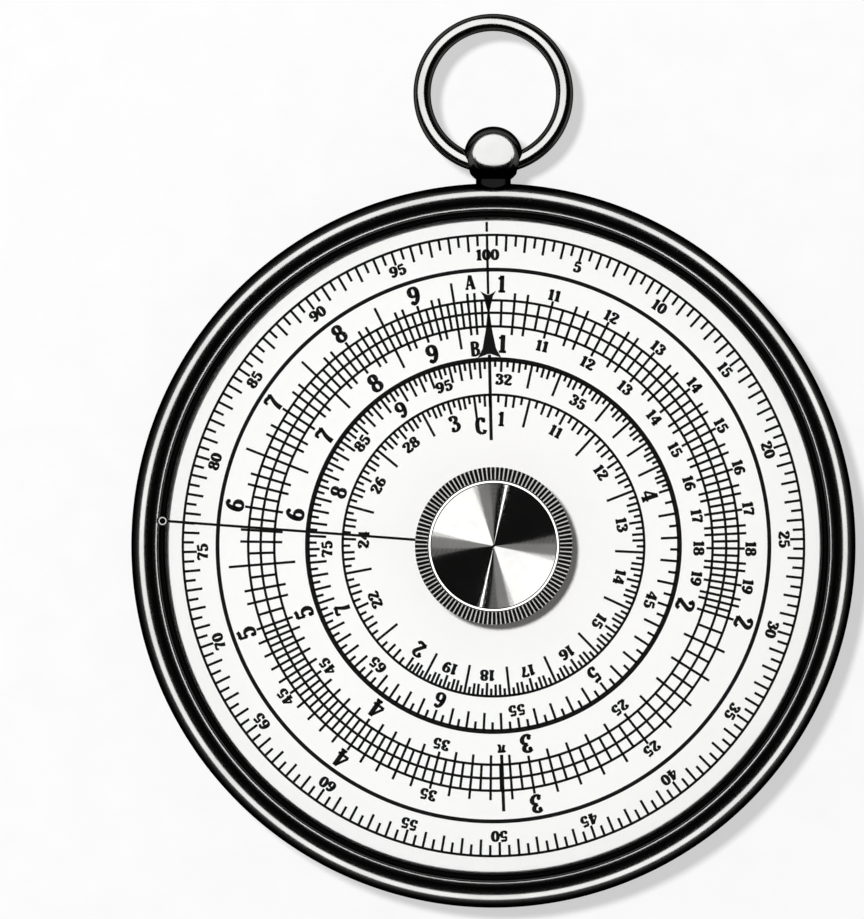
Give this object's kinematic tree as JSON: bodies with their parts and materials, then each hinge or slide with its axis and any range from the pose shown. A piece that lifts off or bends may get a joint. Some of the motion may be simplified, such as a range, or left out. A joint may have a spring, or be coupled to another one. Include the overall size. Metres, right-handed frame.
{
  "type": "circular slide rule",
  "caption": "Pocket-watch style circular slide rule: double-sided case with a revolving dial turned by knobs, rotating hairline bezels and a swinging bow ring.",
  "frame": {"origin": "centre of the back knob's flat face, on which the instrument lies with its front dial up", "axes": "+Z along the dial axis, out of the front dial; +Y from the dial's centre towards the pendant and bow ring"},
  "size_m": [0.066, 0.0815, 0.0084],
  "materials": {
    "nickel": "polished",
    "turned_nickel": "satin",
    "spring_steel": "satin",
    "brass": "satin",
    "dial_card": "matte",
    "crystal": "gloss",
    "ink": "matte",
    "felt": "matte"
  },
  "bodies": {
    "case": {"case_band": "nickel", "fixed_dial_plate": "brass", "dial_clamp_ring": "nickel", "front_fixed_dial": "dial_card", "back_fixed_dial": "dial_card", "front_snap_ring": "spring_steel", "back_snap_ring": "spring_steel", "pendant": "nickel"},
    "revolving_dial": {"revolving_plate": "brass", "front_revolving_dial": "dial_card", "back_revolving_dial": "dial_card", "hub": "brass", "hub_nut": "brass", "front_knob": "turned_nickel", "back_knob": "turned_nickel", "front_knob_washer": "felt", "back_knob_washer": "felt"},
    "front_cursor": {"front_bezel": "nickel", "front_glass": "crystal", "front_glass_ring": "spring_steel", "front_hairline": "ink", "front_nib": "nickel"},
    "back_cursor": {"back_bezel": "nickel", "back_glass": "crystal", "back_glass_ring": "spring_steel", "back_hairline": "ink", "back_nib": "nickel"},
    "bow": {"bow_ring": "nickel"}
  },
  "joints": [
    {"name": "dial_turn", "type": "hinge", "parent": "case", "child": "revolving_dial", "pos_m": [0, 0, 0.0042], "axis": [0, 0, 1], "continuous": true},
    {"name": "front_cursor_turn", "type": "hinge", "parent": "case", "child": "front_cursor", "pos_m": [0, 0, 0.0063], "axis": [0, 0, 1], "continuous": true},
    {"name": "back_cursor_turn", "type": "hinge", "parent": "case", "child": "back_cursor", "pos_m": [0, 0, 0.0021], "axis": [0, 0, 1], "continuous": true},
    {"name": "bow_swing", "type": "hinge", "parent": "case", "child": "bow", "pos_m": [0, 0.03504, 0.0042], "axis": [1, 0, 0], "range_deg": [-131, 131]}
  ]
}
